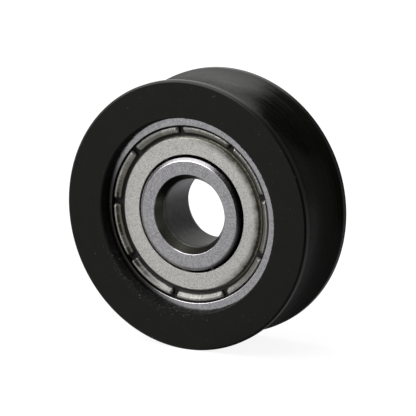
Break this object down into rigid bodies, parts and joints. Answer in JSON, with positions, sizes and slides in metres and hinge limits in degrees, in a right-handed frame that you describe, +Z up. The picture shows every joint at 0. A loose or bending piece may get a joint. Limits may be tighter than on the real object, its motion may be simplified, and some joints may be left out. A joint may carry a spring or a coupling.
{
  "type": "u-groove pulley wheel",
  "caption": "Small guide pulley: a black plastic rim with a round U groove, moulded around a shielded ball bearing with a plain bore, that runs on a rope, wire or round rail.",
  "frame": {"origin": "centre of the wheel, on the spin axis and halfway through its width", "axes": "+Y along the spin axis, towards the rear face; +Z up; the front face looks towards -Y"},
  "size_m": [0.02, 0.0064, 0.02],
  "materials": {
    "black_plastic": "moulded, satin, charcoal black",
    "ground_steel": "fine ground",
    "shield_steel": "pressed sheet, matt",
    "cage_steel": "pressed sheet",
    "ball_steel": "polished"
  },
  "bodies": {
    "inner_ring": {"inner_ring": "ground_steel"},
    "wheel": {"groove_wheel": "black_plastic", "outer_ring": "ground_steel", "shield_front": "shield_steel", "shield_rear": "shield_steel"},
    "cage": {"cage_half_front": "cage_steel", "cage_half_rear": "cage_steel", "cage_rivets": "cage_steel"},
    "ball_1": {"ball_1": "ball_steel"},
    "ball_2": {"ball_2": "ball_steel"},
    "ball_3": {"ball_3": "ball_steel"},
    "ball_4": {"ball_4": "ball_steel"},
    "ball_5": {"ball_5": "ball_steel"},
    "ball_6": {"ball_6": "ball_steel"},
    "ball_7": {"ball_7": "ball_steel"}
  },
  "joints": [
    {"name": "wheel_spin", "type": "hinge", "parent": "inner_ring", "child": "wheel", "pos_m": [0, 0, 0], "axis": [0, 1, 0], "continuous": true},
    {"name": "cage_spin", "type": "hinge", "parent": "inner_ring", "child": "cage", "pos_m": [0, 0, 0], "axis": [0, 1, 0], "continuous": true},
    {"name": "ball_1_spin", "type": "hinge", "parent": "cage", "child": "ball_1", "pos_m": [0.00525, 0, 0], "axis": [0, 1, 0], "continuous": true},
    {"name": "ball_2_spin", "type": "hinge", "parent": "cage", "child": "ball_2", "pos_m": [0.00327, 0, -0.0041], "axis": [0, 1, 0], "continuous": true},
    {"name": "ball_3_spin", "type": "hinge", "parent": "cage", "child": "ball_3", "pos_m": [-0.00117, 0, -0.00512], "axis": [0, 1, 0], "continuous": true},
    {"name": "ball_4_spin", "type": "hinge", "parent": "cage", "child": "ball_4", "pos_m": [-0.00473, 0, -0.00228], "axis": [0, 1, 0], "continuous": true},
    {"name": "ball_5_spin", "type": "hinge", "parent": "cage", "child": "ball_5", "pos_m": [-0.00473, 0, 0.00228], "axis": [0, 1, 0], "continuous": true},
    {"name": "ball_6_spin", "type": "hinge", "parent": "cage", "child": "ball_6", "pos_m": [-0.00117, 0, 0.00512], "axis": [0, 1, 0], "continuous": true},
    {"name": "ball_7_spin", "type": "hinge", "parent": "cage", "child": "ball_7", "pos_m": [0.00327, 0, 0.0041], "axis": [0, 1, 0], "continuous": true}
  ],
  "couplings": [
    {"joint": "cage_spin", "follows": "wheel_spin", "ratio": 0.63229},
    {"joint": "ball_1_spin", "follows": "wheel_spin", "ratio": 1.7576},
    {"joint": "ball_2_spin", "follows": "wheel_spin", "ratio": 1.7576},
    {"joint": "ball_3_spin", "follows": "wheel_spin", "ratio": 1.7576},
    {"joint": "ball_4_spin", "follows": "wheel_spin", "ratio": 1.7576},
    {"joint": "ball_5_spin", "follows": "wheel_spin", "ratio": 1.7576},
    {"joint": "ball_6_spin", "follows": "wheel_spin", "ratio": 1.7576},
    {"joint": "ball_7_spin", "follows": "wheel_spin", "ratio": 1.7576}
  ]
}
